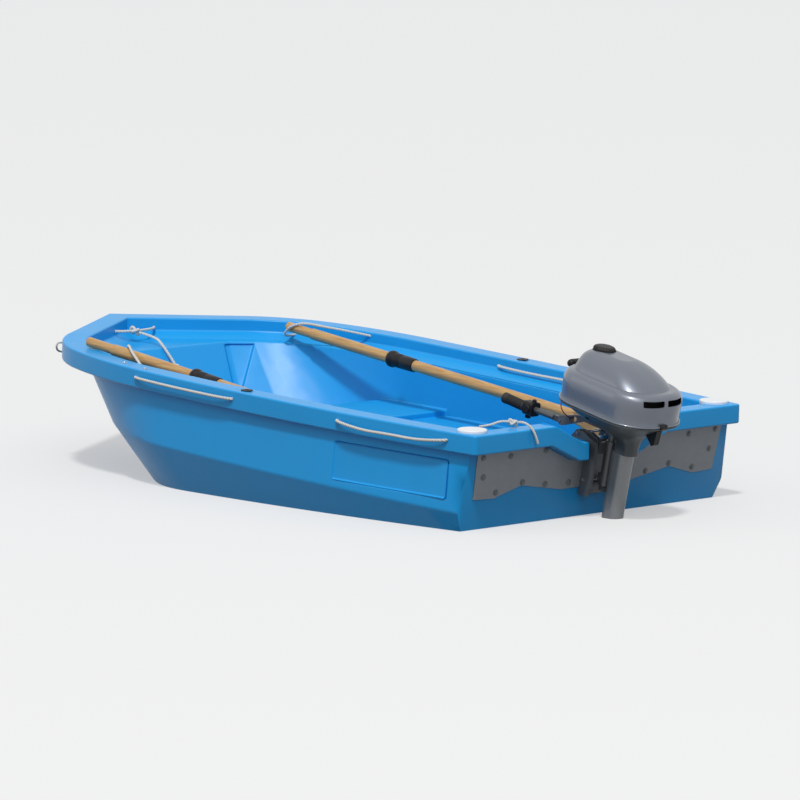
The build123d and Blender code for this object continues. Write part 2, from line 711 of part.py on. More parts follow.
def lower_form(wall):
    """The lower cowling filled in, or the space inside it."""
    with BuildPart() as form:
        for z, x, long, wide in lower_stations:
            with BuildSketch(level(z + wall if z != SEAM_Z else z)):
                with Locations((x, 0)):
                    add(oval(long - 2 * wall, wide - 2 * wall))
        loft()
    return form.part


with BuildPart() as lower_cowl:
    add(lower_form(0))
    add(lower_form(COWL_WALL), mode=Mode.SUBTRACT)
    # room for the steering head, which carries the cowling
    with BuildSketch(level(0)):
        with Locations((-24.3 + 60, 0)):
            Rectangle(120, 44.6)
    extrude(amount=HEAD_TOP + 0.3, mode=Mode.SUBTRACT)
keep(lower_cowl, "lower_cowl")

# the upper cowling: flanks up to a brow, and a dome that falls away aft
flank_stations = [(SEAM_Z + SEAM_GAP, COWL_X, COWL_LONG, COWL_WIDE),
                  (150, COWL_X, COWL_LONG - 2, COWL_WIDE - 4),
                  (BROW_Z - 8, COWL_X - 1, COWL_LONG - 14, COWL_WIDE - 18),
                  (BROW_Z + 4, COWL_X - 2, COWL_LONG - 52, COWL_WIDE - 54)]
dome_stations = [(BROW_Z - 6, COWL_X + 6, COWL_LONG - 56, COWL_WIDE - 58),
                 (BROW_Z + 30, COWL_X + 24, COWL_LONG - 114, COWL_WIDE - 98),
                 (BROW_Z + 56, COWL_X + 44, COWL_LONG - 188, COWL_WIDE - 162),
                 (COWL_TOP, COWL_X + 48, COWL_LONG - 260, COWL_WIDE - 216)]


def stacked(stations, wall):
    """A form through level ovals, or the space inside its wall."""
    with BuildPart() as form:
        for z, x, long, wide in stations:
            with BuildSketch(level(z - wall if z > BROW_Z else z)):
                with Locations((x, 0)):
                    add(oval(long - 2 * wall, wide - 2 * wall))
        loft()
    return form.part


with BuildPart() as upper_cowl:
    for wall, how in ((0, Mode.ADD), (COWL_WALL, Mode.SUBTRACT)):
        add(stacked(flank_stations, wall), mode=how)
        add(stacked(dome_stations, wall), mode=how)
    # filler neck under the cap
    with BuildSketch(level(215)):
        with Locations((CAP_AHEAD, 0)):
            Circle(FUEL_CAP_R + COWL_WALL)
    extrude(amount=FUEL_SEAT_Z - 215)
    with BuildSketch(level(FUEL_SEAT_Z)):
        with Locations((CAP_AHEAD, 0)):
            Circle(FUEL_CAP_R + 0.4)
    extrude(amount=60, mode=Mode.SUBTRACT)
    # starter boss on the front
    with BuildSketch(square(STARTER_X - 40)):
        with Locations((0, STARTER_Z)):
            Circle(12)
    extrude(amount=40 - 12)
    # louvres under the brow, across the back and round each quarter
    for side in (1, -1):
        with BuildSketch(square(COWL_X - COWL_LONG / 2 - 20)):
            with Locations((side * LOUVRE_OUT, LOUVRE_Z)):
                RectangleRounded(LOUVRE_WIDE, LOUVRE_HIGH, 5)
        extrude(amount=90, mode=Mode.SUBTRACT)
        with BuildSketch(profile(side * (COWL_WIDE / 2 + 20))):
            with Locations((QUARTER_LOUVRE_X, LOUVRE_Z)):
                RectangleRounded(LOUVRE_WIDE * 0.6, LOUVRE_HIGH, 5)
        extrude(amount=-side * 60, mode=Mode.SUBTRACT)
keep(upper_cowl, "upper_cowl")

with BuildPart() as engine_block:
    with BuildSketch(level(66)):
        with Locations((COWL_X - 30, 0)):
            RectangleRounded(COWL_LONG - 210, COWL_WIDE - 144, 20)
    extrude(amount=138)
    with BuildSketch(level(HEAD_TOP + 0.3)):
        with Locations((-24, 0)):
            Circle(9)
    extrude(amount=40)
keep(engine_block, "engine_block")

with BuildPart() as fuel_cap:
    with BuildSketch(level(FUEL_SEAT_Z)):
        with Locations((CAP_AHEAD, 0)):
            Circle(FUEL_CAP_R)
    extrude(amount=30)
    fillet(fuel_cap.edges().sort_by(Axis(motor.origin, motor.z_dir))[-1], 8)
keep(fuel_cap, "fuel_cap")

with BuildPart() as starter_grip:
    with BuildSketch(square(STARTER_X - 12)):
        with Locations((0, STARTER_Z)):
            SlotOverall(62, 20)
    extrude(amount=20)
    fillet(starter_grip.edges().group_by(Axis(motor.origin, motor.x_dir))[-1], 7)
keep(starter_grip, "starter_grip")

with BuildPart() as carry_handle:
    with BuildSketch(profile(-11)):
        with BuildLine():
            back = COWL_X - COWL_LONG / 2
            Polyline((back + 83, 88), (back + 17, 96), (back + 11, 90), (back + 16, 44),
                     (back + 27, 38), (back + 35, 46), close=True)
        make_face()
    extrude(amount=-22)
    add(lower_form(0), mode=Mode.SUBTRACT)
keep(carry_handle, "carry_handle")

# ================================================================ tiller
tiller_line = motor.x_dir * cos(radians(TILLER_DROOP)) - motor.z_dir * sin(radians(TILLER_DROOP))


def along_tiller(distance):
    """Cross plane of the tiller at a distance from its pin."""
    start = spot(TILLER_PIN[0], 0, TILLER_PIN[1])
    return Plane(origin=start + tiller_line * distance, x_dir=motor.y_dir, z_dir=tiller_line)


reach = TILLER_END - TILLER_PIN[0]
with BuildPart() as tiller_arm:
    with BuildSketch(profile(-TILLER_EYE / 2)):
        with Locations(TILLER_PIN):
            Circle(12)
    extrude(amount=-TILLER_EYE)
    with BuildSketch(along_tiller(9)):
        Rectangle(TILLER_EYE, 18)
    extrude(amount=30)
    with BuildSketch(along_tiller(34)):
        Circle(10)
    extrude(amount=reach - 30 - 34)
    with BuildSketch(profile(-20)):
        with Locations(TILLER_PIN):
            Circle(TILLER_PIN_R + RUN_FIT)
    extrude(amount=-40, mode=Mode.SUBTRACT)
keep(tiller_arm, "tiller_arm")

with BuildPart() as tiller_grip:
    with BuildSketch(along_tiller(reach - GRIP_LONG)):
        Circle(GRIP_R)
    with BuildSketch(along_tiller(reach - GRIP_LONG / 2)):
        Circle(GRIP_R - 2)
    with BuildSketch(along_tiller(reach)):
        Circle(GRIP_R)
    loft()
    with BuildSketch(along_tiller(reach - GRIP_LONG - 1)):
        Circle(10)
    extrude(amount=GRIP_LONG - 28, mode=Mode.SUBTRACT)
keep(tiller_grip, "tiller_grip")

with BuildPart() as throttle_box:
    with BuildSketch(along_tiller(reach - GRIP_LONG - 46)):
        RectangleRounded(40, 44, 10)
    extrude(amount=40)
    with BuildSketch(along_tiller(reach - GRIP_LONG - 47)):
        Circle(10)
    extrude(amount=60, mode=Mode.SUBTRACT)
keep(throttle_box, "throttle_box")


# ================================================================ oars
def oar(handle, tip, side):
    """A timber oar from its handle end to the middle of the blade's end."""
    handle = Vector(*handle)
    tip = Vector(*tip)
    run = (tip - handle).normalized()
    length = (tip - handle).length
    base = Plane(origin=handle, x_dir=run.cross(Vector(0, 0, 1)), z_dir=run)
    with BuildPart() as timber:
        with BuildSketch(base):
            Circle(OAR_HANDLE_R)
        extrude(amount=130)
        with BuildSketch(base.offset(120)):
            Circle(OAR_R)
        extrude(amount=length - 120 - BLADE_LONG + 30)
        for start, wide, thick in ((length - BLADE_LONG, 2 * OAR_R, 2 * OAR_R - 2),
                                   (length - BLADE_LONG + 190, OAR_BLADE_WIDE - 16, 14),
                                   (length, OAR_BLADE_WIDE, 8)):
            with BuildSketch(base.offset(start)):
                RectangleRounded(thick, wide, min(thick, wide) * 0.45)
        loft()
    keep(timber, f"oar_{side}")
    with BuildPart() as collar:
        with BuildSketch(base.offset(COLLAR_FROM)):
            Circle(OAR_R + 9)
        extrude(amount=16)
        with BuildSketch(base.offset(COLLAR_FROM + 16)):
            Circle(OAR_R + 4.5)
        extrude(amount=COLLAR_LONG - 16)
        with BuildSketch(base.offset(COLLAR_FROM - 5)):
            Circle(OAR_R + 0.05)
        extrude(amount=COLLAR_LONG + 10, mode=Mode.SUBTRACT)
    keep(collar, f"oar_collar_{side}")


blade_z = BENCH_Z + 0.3 + OAR_BLADE_WIDE / 2
oar((BOW_X - 500, WIDEST_HALF - 135, 405.5), (STERN_X + 120, WIDEST_HALF - 203, blade_z),
    "port")
oar((BOW_X - 460, 245 - WIDEST_HALF, 380), (STERN_X + 160, 227 - WIDEST_HALF, blade_z),
    "starboard")

# ================================================================ ropes
def rope(points, name, radius=ROPE_R):
    """A round rope through the points, each bend as round as its runs let it be."""
    radii = []
    for before, here, after in zip(points, points[1:], points[2:]):
        into = Vector(*here) - Vector(*before)
        out = Vector(*after) - Vector(*here)
        half_turn = radians(into.get_angle(out)) / 2
        radii.append(BEND_SHARE * min(into.length, out.length) / tan(half_turn))
    with BuildPart() as line:
        with BuildLine() as route:
            FilletPolyline(*points, radius=radii)
        path = route.wires()[0]
        with BuildSketch(Plane(origin=path @ 0, z_dir=path % 0)):
            Circle(radius)
        sweep(path=path)
    print(name, "rope", round(path.length, 1), "mm, bends",
          [round(bend / (2 * radius), 1) for bend in radii], "diameters")
    keep(line, name)


def grab_line(fore, aft, sags, name):
    """A rope along the rim's port edge, out of one hole and into the next."""
    points = []
    steps = len(sags)
    for index in range(steps + 2):
        x = fore + (aft - fore) * index / (steps + 1)
        half, top = rim_edge(x)
        sag = 0 if index in (0, steps + 1) else sags[index - 1]
        points.append((x, half + ROPE_OFF, top - ROPE_BELOW - sag))
    for x, where in ((fore, 0), (aft, len(points) + 1)):
        half, top = rim_edge(x)
        points.insert(where, (x, half + 0.7, top - ROPE_BELOW))
    rope(points, name)


grab_line(BOW_X - 888, BOW_X - 1358, [1.5], "grab_line_fore")
grab_line(STERN_X + 570, STERN_X + 113, [14, 11, 13], "grab_line_aft")

# the inner grab line lies along the starboard side's inner wall
inner = []
for x in (STERN_X + 1090, STERN_X + 930, STERN_X + 760, STERN_X + 610):
    half, top = rim_edge(x)
    inner.append((x, RIM_WIDTH + ROPE_OFF - half, top - ROPE_BELOW))
inner[1] = (*inner[1][:2], inner[1][2] - 3)
for x, where in ((inner[0][0], 0), (inner[-1][0], len(inner) + 1)):
    half, top = rim_edge(x)
    inner.insert(where, (x, RIM_WIDTH + 0.7 - half, top - ROPE_BELOW))
rope(inner, "inner_line")

# the bow line crosses from one inner wall of the bow to the other, knotted
# on the way, and its long end lies over the shelf into the well
rope([(1031, 118.5, 369), (1008, 104, 369), (1012, 20, 366), (1033, -63, 365),
      (1056, -77.7, 365)], "bow_line")
rope([(1000, 45, 364), (950, 16, 353), (861, 58, 346), (805, 34, 262)], "painter")

# the stern line lies on the transom's rim and its end hangs over the edge
rope([(-1088, 470, 357.6), (-1104, 445, 359), (-1120, 408, 374), (-1144, 374, 370),
      (-1186, 364, 375), (-1214, 350, 348), (-1217, 338, 308)], "stern_line", 4.0)

# cord of the engine's stop switch
rope([(-1046, 50, 410), (-1030, 50, 407), (-1024, 50, 372), (-1040, 38, 346),
      (-1036, 11.6, 337)], "stop_cord", 1.8)

print(len(made), "pieces")
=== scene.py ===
# %% [markdown]
# # A small moulded dinghy with a tiller outboard
# The CAD model is the fixed frame. This script gives every piece its finish, adds the
# fittings that are too small for the CAD model and lights the boat on a pale floor.
# Lengths are in metres: +X points to the bow, +Y to port and +Z up. The still waterline
# is at Z = 0.

# %% Load the frame
import json
import math

import bmesh
import bpy
from mathutils import Matrix, Vector
from mathutils.bvhtree import BVHTree

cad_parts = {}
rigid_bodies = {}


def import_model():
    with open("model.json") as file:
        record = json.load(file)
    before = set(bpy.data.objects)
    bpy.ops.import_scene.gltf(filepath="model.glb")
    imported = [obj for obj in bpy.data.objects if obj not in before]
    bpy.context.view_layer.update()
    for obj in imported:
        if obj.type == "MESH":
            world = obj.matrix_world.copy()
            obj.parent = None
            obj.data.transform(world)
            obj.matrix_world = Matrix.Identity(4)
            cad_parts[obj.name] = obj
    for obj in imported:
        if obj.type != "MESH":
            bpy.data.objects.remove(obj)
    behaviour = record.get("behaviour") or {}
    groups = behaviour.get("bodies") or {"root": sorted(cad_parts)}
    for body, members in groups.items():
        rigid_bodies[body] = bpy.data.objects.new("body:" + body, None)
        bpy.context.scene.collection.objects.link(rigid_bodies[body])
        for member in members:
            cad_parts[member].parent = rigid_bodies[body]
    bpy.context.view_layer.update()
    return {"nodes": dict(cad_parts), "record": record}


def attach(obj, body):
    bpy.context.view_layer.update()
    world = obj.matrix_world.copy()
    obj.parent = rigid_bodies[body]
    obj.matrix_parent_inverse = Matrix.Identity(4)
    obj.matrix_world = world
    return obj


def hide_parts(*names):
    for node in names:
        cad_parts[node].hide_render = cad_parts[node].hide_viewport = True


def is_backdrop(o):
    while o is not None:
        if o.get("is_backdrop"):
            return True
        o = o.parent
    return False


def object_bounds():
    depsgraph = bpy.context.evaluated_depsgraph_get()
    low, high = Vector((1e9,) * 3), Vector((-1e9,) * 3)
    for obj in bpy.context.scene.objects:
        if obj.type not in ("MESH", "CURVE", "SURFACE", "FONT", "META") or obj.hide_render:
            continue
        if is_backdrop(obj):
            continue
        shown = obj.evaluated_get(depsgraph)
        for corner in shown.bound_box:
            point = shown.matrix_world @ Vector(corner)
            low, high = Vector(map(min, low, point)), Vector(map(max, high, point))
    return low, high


for old in list(bpy.data.objects):
    bpy.data.objects.remove(old)
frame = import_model()
record = frame["record"]
slot_of = {row["node"]: row["material_slot"] for row in record["subparts"]}
body_of = {node: body for body, nodes in record["behaviour"]["bodies"].items()
           for node in nodes}

# %% [markdown]
# ## Camera
# A boat is best shown a little from above, off one quarter, so that its side, its stern
# and its cockpit all show. A short lens close by would swell the outboard. A long lens
# from about twenty metres keeps the perspective nearly flat, so that is used here.

# %% Camera
LENS = 288.86
STANDS = (-15.0971, 14.2612, 3.4387)
LOOKS_AT = (-0.1248, -0.1122, 0.2656)
ROLL = math.radians(1.646)
scene = bpy.context.scene
camera_data = bpy.data.cameras.new("camera")
camera_data.lens = LENS
camera_data.sensor_width = 36.0
camera_data.clip_start = 1.0
camera_data.clip_end = 200.0
camera = bpy.data.objects.new("camera", camera_data)
scene.collection.objects.link(camera)
camera.location = STANDS
aim = Vector(LOOKS_AT)
camera.rotation_mode = "QUATERNION"
look = (aim - camera.location).to_track_quat("-Z", "Y")
camera.rotation_quaternion = look @ Matrix.Rotation(ROLL, 3, "Z").to_quaternion()
scene.camera = camera
print("camera distance:", round((aim - camera.location).length, 2))

# %% [markdown]
# ## Ropes
# The grab ropes, the painter and the stern line are white three-strand rope. A plain tube
# with a striped bump would look flat at its edges. So each strand is its own tube, wound
# as a helix round one smooth NURBS line whose control points are the CAD rope's route.

# %% Rope makers
def spine(route):
    """Points along the smooth line of a route."""
    data = bpy.data.curves.new("spine", "CURVE")
    data.dimensions = "3D"
    data.resolution_u = 40
    line = data.splines.new("NURBS")
    line.points.add(len(route) - 1)
    for point, place in zip(line.points, route):
        point.co = (*place, 1)
    line.order_u = 3
    line.use_endpoint_u = True
    holder = bpy.data.objects.new("spine", data)
    scene.collection.objects.link(holder)
    bpy.context.view_layer.update()
    depsgraph = bpy.context.evaluated_depsgraph_get()
    mesh = bpy.data.meshes.new_from_object(holder.evaluated_get(depsgraph))
    points = [v.co.copy() for v in mesh.vertices]
    bpy.data.meshes.remove(mesh)
    bpy.data.objects.remove(holder)
    bpy.data.curves.remove(data)
    return points


def path_length(points):
    """Length of a line of points."""
    return sum((b - a).length for a, b in zip(points, points[1:]))


def tube_rings(shape, centres, radius, sides=8):
    """A closed tube through the centres, added to a bmesh."""
    rings = []
    side = None
    for index, centre in enumerate(centres):
        ahead = centres[min(index + 1, len(centres) - 1)] - centres[max(index - 1, 0)]
        ahead.normalize()
        if side is None:
            side = ahead.orthogonal().normalized()
        side = (side - ahead * side.dot(ahead)).normalized()
        up = ahead.cross(side)
        ring = []
        for step in range(sides):
            turn = math.tau * step / sides
            place = centre + (side * math.cos(turn) + up * math.sin(turn)) * radius
            ring.append(shape.verts.new(place))
        rings.append(ring)
    for here, after in zip(rings, rings[1:]):
        for step in range(sides):
            follow = (step + 1) % sides
            shape.faces.new((here[step], here[follow], after[follow], after[step]))
    shape.faces.new(list(reversed(rings[0])))
    shape.faces.new(rings[-1])


def strand_centres(points, offset, phase, pitch):
    """The helix of one strand round a line of points."""
    centres = []
    side = None
    run = 0.0
    for index, centre in enumerate(points):
        ahead = points[min(index + 1, len(points) - 1)] - points[max(index - 1, 0)]
        ahead.normalize()
        if side is None:
            side = ahead.orthogonal().normalized()
        side = (side - ahead * side.dot(ahead)).normalized()
        up = ahead.cross(side)
        if index:
            run += (centre - points[index - 1]).length
        turn = phase + math.tau * run / pitch
        centres.append(centre + (side * math.cos(turn) + up * math.sin(turn)) * offset)
    return centres


def place_piece(name, shape, body, slot, smooth=True):
    """Turn a bmesh into a piece that rides on a body."""
    bmesh.ops.recalc_face_normals(shape, faces=shape.faces)
    mesh = bpy.data.meshes.new(name)
    shape.to_mesh(mesh)
    shape.free()
    piece = bpy.data.objects.new(name, mesh)
    scene.collection.objects.link(piece)
    for face in mesh.polygons:
        face.use_smooth = smooth
    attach(piece, body)
    finish_of[piece] = slot
    return piece


def laid_rope(name, route, diameter, body, slot="rope", pitch=3.4, sides=8):
    """A three-strand rope along a route, with the points it follows."""
    points = spine(route)
    shape = bmesh.new()
    for strand in range(3):
        phase = math.tau * strand / 3
        centres = strand_centres(points, diameter * 0.24, phase, diameter * pitch)
        tube_rings(shape, centres, diameter * 0.265, sides)
    return place_piece(name, shape, body, slot), points


def knot(name, centre, across, diameter, body, slot="rope", tip=0.6):
    """A rope knot: a trefoil of the same rope drawn up tight."""
    shape = bmesh.new()
    turns = 90
    centres = []
    for step in range(turns + 1):
        t = math.tau * step / turns
        local = Vector((math.sin(t) + 2 * math.sin(2 * t), math.cos(t) - 2 * math.cos(2 * t),
                        -1.4 * math.sin(3 * t))) * (across / 6.2)
        local.rotate(Matrix.Rotation(tip, 3, "X").to_euler())
        centres.append(Vector(centre) + local)
    tube_rings(shape, centres, diameter * 0.5, 10)
    return place_piece(name, shape, body, slot)


finish_of = {}

# %% [markdown]
# ## The boat's ropes
# The outer grab ropes pass through holes in the rim and lie along it. The aft one sags
# between its fixings, and the fore one is taut. The painter is made fast across the bow.
# Routes along the rim are worked out from the rim's own curve, so they follow its edge.

# %% Where the ropes run
ROPE = 0.010
STERN_ROPE = 0.008
STOP_CORD = 0.0036
RIM_BELOW = 0.026


def rim_edge(x):
    """Port half-width of the rim and its top, at a station aft of the widest one."""
    (x1, y1), (x2, y2), (x3, y3) = ((-1.260, 0.587), (-0.450, 0.650), (0.300, 0.655))
    a = (y1 - y2) / (x1 - x2)
    b = (y2 - y3) / (x2 - x3)
    bend = (a - b) / (x1 - x3)
    share = (x + 1.2) / 2.4
    half = y2 + a * (x - x2) + bend * (x - x2) * (x - x1)
    return half, 0.352 + 0.049 * share - 0.034 * share * (1 - share)


def edge_route(stations, sags, standing, start):
    """Points off a rim face, beginning and ending in it."""
    route = []
    for x, sag in zip(stations, sags):
        half, top = rim_edge(x)
        route.append((x, half + standing, top - RIM_BELOW - sag))
    for x, where in ((stations[0], 0), (stations[-1], len(route) + 1)):
        half, top = rim_edge(x)
        route.insert(where, (x, half + start, top - RIM_BELOW))
    return route


aft_route = edge_route([-0.63 - 0.11425 * step for step in range(5)],
                       (0, 0.014, 0.011, 0.013, 0), 0.014, 0.0007)
fore_route = edge_route((0.312, 0.077, -0.158), (0, 0.0015, 0), 0.014, 0.0007)
inner_route = []
for x, sag in ((-0.110, 0), (-0.270, 0.003), (-0.440, 0), (-0.590, 0)):
    half, top = rim_edge(x)
    inner_route.append((x, 0.094 - half, top - RIM_BELOW - sag))
for x, where in ((-0.110, 0), (-0.590, 5)):
    half, top = rim_edge(x)
    inner_route.insert(where, (x, 0.0807 - half, top - RIM_BELOW))
bow_route = [(1.031, 0.1185, 0.369), (1.008, 0.104, 0.369), (1.012, 0.020, 0.366),
             (1.033, -0.063, 0.365), (1.056, -0.0777, 0.365)]
painter_route = [(1.000, 0.045, 0.364), (0.950, 0.016, 0.353), (0.861, 0.058, 0.346),
                 (0.805, 0.034, 0.262)]
stern_route = [(-1.088, 0.470, 0.3576), (-1.104, 0.445, 0.359), (-1.120, 0.408, 0.374),
               (-1.144, 0.374, 0.370), (-1.186, 0.364, 0.375), (-1.214, 0.350, 0.348),
               (-1.217, 0.338, 0.308)]
stop_route = [(-1.046, 0.050, 0.410), (-1.030, 0.050, 0.407), (-1.024, 0.050, 0.372),
              (-1.040, 0.038, 0.346), (-1.036, 0.0116, 0.337)]

# %% Rope pieces
grab_aft, aft_line = laid_rope("rope_grab_aft", aft_route, ROPE, "hull")
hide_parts("grab_line_aft")
grab_fore, fore_line = laid_rope("rope_grab_fore", fore_route, ROPE, "hull")
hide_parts("grab_line_fore")
inner_rope, inner_line = laid_rope("rope_inner", inner_route, ROPE, "hull")
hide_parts("inner_line")
bow_rope, bow_line = laid_rope("rope_bow", bow_route, ROPE, "hull")
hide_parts("bow_line")
painter, painter_line = laid_rope("rope_painter", painter_route, ROPE, "hull")
bow_knot = knot("bow_knot", (1.010, 0.048, 0.367), 0.034, ROPE, "hull")
painter_knot = knot("painter_knot", painter_route[-1], 0.030, ROPE, "hull", tip=1.2)
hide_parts("painter")
stern_rope, stern_line = laid_rope("rope_stern", stern_route, STERN_ROPE, "hull")
stern_knot = knot("stern_knot", (-1.143, 0.376, 0.369), 0.030, STERN_ROPE, "hull", tip=0.3)
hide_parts("stern_line")
stop_cord, stop_line = laid_rope("rope_stop_cord", stop_route, STOP_CORD, "motor",
                                 slot="cord_red", pitch=2.6)
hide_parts("stop_cord")
print("ropes:", [round(path_length(p), 3) for p in (aft_line, painter_line, stern_line)])

# %% [markdown]
# ## Hull
# A rotational moulding can't hold a sharp edge, so the hull's edges are softly rounded.
# The CAD piece is loose triangles, so a copy is merged and its flat faces are joined
# before the bevel. Edges round the rowlock and cap holes stay sharp, where other pieces
# fit. A Bevel modifier would treat those as well, so the operator takes chosen edges.

# %% The rounded hull
def merged_copy(node):
    """A bmesh of a CAD piece with its loose triangles joined."""
    shape = bmesh.new()
    shape.from_mesh(frame["nodes"][node].data)
    bmesh.ops.remove_doubles(shape, verts=shape.verts, dist=1e-5)
    return shape


def softened(name, node, width, keep_sharp=(), angle=22, segments=3):
    """A merged copy of a CAD piece with rounded edges, away from small round holes."""
    shape = merged_copy(node)
    bmesh.ops.dissolve_limit(shape, angle_limit=math.radians(0.01), verts=shape.verts,
                             edges=shape.edges)
    chosen = []
    for edge in shape.edges:
        if not edge.is_manifold or edge.calc_face_angle() < math.radians(angle):
            continue
        middle = (edge.verts[0].co + edge.verts[1].co) / 2
        if any((middle.xy - Vector(hole)).length < reach for hole, reach in keep_sharp):
            continue
        chosen.append(edge)
    bmesh.ops.bevel(shape, geom=chosen, offset=width, offset_type="OFFSET",
                    segments=segments, profile=0.5, affect="EDGES", clamp_overlap=False)
    piece = place_piece(name, shape, body_of[node], slot_of[node])
    piece.data.set_sharp_from_angle(angle=math.radians(32))
    smooth = piece.modifiers.new("even shading", "WEIGHTED_NORMAL")
    smooth.keep_sharp = True
    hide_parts(node)
    return piece


ROWLOCK = (-0.180, 0.6177)
ROWLOCK_CLEAR = 0.014
CORNER_CAP = (-1.130, 0.540)
CAP_CLEAR = 0.052
EDGE_ROUND = 0.0055
holes = [((x, side * y), reach)
         for (x, y), reach in ((ROWLOCK, ROWLOCK_CLEAR), (CORNER_CAP, CAP_CLEAR))
         for side in (1, -1)]
hull = softened("rounded_hull", "hull", EDGE_ROUND, holes)
print("hull triangles:", sum(len(f.vertices) - 2 for f in hull.data.polygons))

# %% [markdown]
# ## Turned pieces
# Caps, knobs, plugs and screw heads are round pieces with shoulders, as a lathe makes.
# Half of the outline is drawn once and spun about its axis. Grips on a cap are flutes, so
# the spun wall is pressed in at even angles afterwards.

# %% Places on the outboard
RAKE = math.radians(10.5)
AHEAD = Vector((math.cos(RAKE), 0, math.sin(RAKE)))
PORT = Vector((0, 1, 0))
UP = Vector((-math.sin(RAKE), 0, math.cos(RAKE)))
SWIVEL = Vector((-1.207266, 0, 0.290))


def spot(ahead, port, up):
    """A point given in the outboard's own frame."""
    return SWIVEL + AHEAD * ahead + PORT * port + UP * up


def lathe(shape, start, end, profile, sides=32, flutes=0, depth=0.0):
    """Spin an outline of (distance, radius) about the line from start to end."""
    axis = (end - start).normalized()
    side = axis.orthogonal().normalized()
    up = axis.cross(side)
    outline = [shape.verts.new(start + axis * along + side * radius)
               for along, radius in profile]
    edges = [shape.edges.new(pair) for pair in zip(outline, outline[1:])]
    before = set(shape.verts) - set(outline)
    bmesh.ops.spin(shape, geom=outline + edges, cent=start, axis=axis, dvec=(0, 0, 0),
                   angle=math.tau, steps=sides, use_merge=True, use_duplicate=False)
    spun = [vert for vert in shape.verts if vert not in before]
    rims = [edge for vert in spun for edge in vert.link_edges if edge.is_boundary]
    bmesh.ops.holes_fill(shape, edges=list(set(rims)), sides=sides)
    if not flutes:
        return
    for vert in spun:
        off = vert.co - start
        arm = off - axis * off.dot(axis)
        if arm.length > depth:
            turn = math.atan2(arm.dot(up), arm.dot(side))
            vert.co -= arm.normalized() * depth * (0.5 + 0.5 * math.cos(flutes * turn))


def turned(name, start, end, profile, body, slot, sides=32, flutes=0, depth=0.0):
    """One lathe-turned piece with crisp shoulders."""
    shape = bmesh.new()
    lathe(shape, start, end, profile, sides, flutes, depth)
    piece = place_piece(name, shape, body, slot)
    piece.data.set_sharp_from_angle(angle=math.radians(38))
    return piece


def oval_ring(ahead, up, long, wide, share=0.41, steps=10):
    """The cowling's rounded outline at a level, as points."""
    radius = min(long, wide) * share
    points = []
    for sx, sy, first in ((1, 1, 0), (-1, 1, 90), (-1, -1, 180), (1, -1, 270)):
        for step in range(steps + 1):
            turn = math.radians(first + 90 * step / steps)
            points.append(spot(ahead + sx * (long / 2 - radius) + radius * math.cos(turn),
                               sy * (wide / 2 - radius) + radius * math.sin(turn), up))
    return points


# %% [markdown]
# ## Cowling trim
# The two halves of the cowling meet in a rubber-edged seam that shows as a thin double
# line. A bead is run round each half's outline at the seam. The fuel cap, the starter's
# pull, a plug in the side and the latch at the back complete the cowling.

# %% Seam beads
def bead(name, points, radius, body, slot, sides=8):
    """A round bead along a closed line of points."""
    shape = bmesh.new()
    rings = []
    count = len(points)
    middle = sum(points, Vector()) / count
    for index, point in enumerate(points):
        ahead = (points[(index + 1) % count] - points[index - 1]).normalized()
        side = (UP if abs(ahead.dot(UP)) < 0.9 else AHEAD)
        side = (side - ahead * side.dot(ahead)).normalized()
        out = ahead.cross(side)
        if out.dot(point - middle) < 0:
            out = -out
        rings.append([shape.verts.new(point + (out * math.cos(math.tau * k / sides)
                                               + side * math.sin(math.tau * k / sides))
                                      * radius) for k in range(sides)])
    for index in range(count):
        here, after = rings[index], rings[(index + 1) % count]
        for k in range(sides):
            follow = (k + 1) % sides
            shape.faces.new((here[k], here[follow], after[follow], after[k]))
    return place_piece(name, shape, body, slot)


bead("cowl_bead_upper", oval_ring(-0.008, 0.1075, 0.3905, 0.2805), 0.0030, "motor",
     "cowl_silver")
# The lower bead takes the lower half's colour, which is the silver paint darkened as painted
# shade.
bead("cowl_bead_lower", oval_ring(-0.008, 0.1005, 0.3875, 0.2775), 0.0034, "motor",
     "cowl_dark")

# %% Fuel cap
cap_foot = spot(0.097, 0, 0.250)
cap_top = spot(0.097, 0, 0.280)
cap = turned("knurled_cap", cap_foot, cap_top,
             [(0.000, 0.035), (0.001, 0.038), (0.006, 0.038), (0.008, 0.036),
              (0.0085, 0.037), (0.021, 0.036), (0.025, 0.034), (0.028, 0.029),
              (0.029, 0.020), (0.029, 0.001)], "motor", "black_plastic", sides=96,
             flutes=24, depth=0.0022)
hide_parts("fuel_cap")


# %% Grips, plug and latch
def grip_shape(name, centre, long, high, deep, body, slot):
    """A rounded pull grip, thicker at its two ends than at its waist."""
    shape = bmesh.new()
    rows = 24
    outline = []
    for row in range(rows + 1):
        share = row / rows * 2 - 1
        end = math.sqrt(max(0.0, 1 - abs(share) ** 6))
        waist = 0.86 + 0.14 * share * share
        outline.append(shape.verts.new((0, share / 2, waist * end / 2)))
    edges = [shape.edges.new(pair) for pair in zip(outline, outline[1:])]
    bmesh.ops.spin(shape, geom=outline + edges, cent=(0, 0, 0), axis=(0, 1, 0),
                   dvec=(0, 0, 0), angle=math.tau, steps=20, use_merge=True,
                   use_duplicate=False)
    bmesh.ops.remove_doubles(shape, verts=shape.verts, dist=1e-6)
    for vert in shape.verts:
        x, y, z = vert.co
        vert.co = centre + AHEAD * x * deep + PORT * y * long + UP * z * high
    return place_piece(name, shape, body, slot)


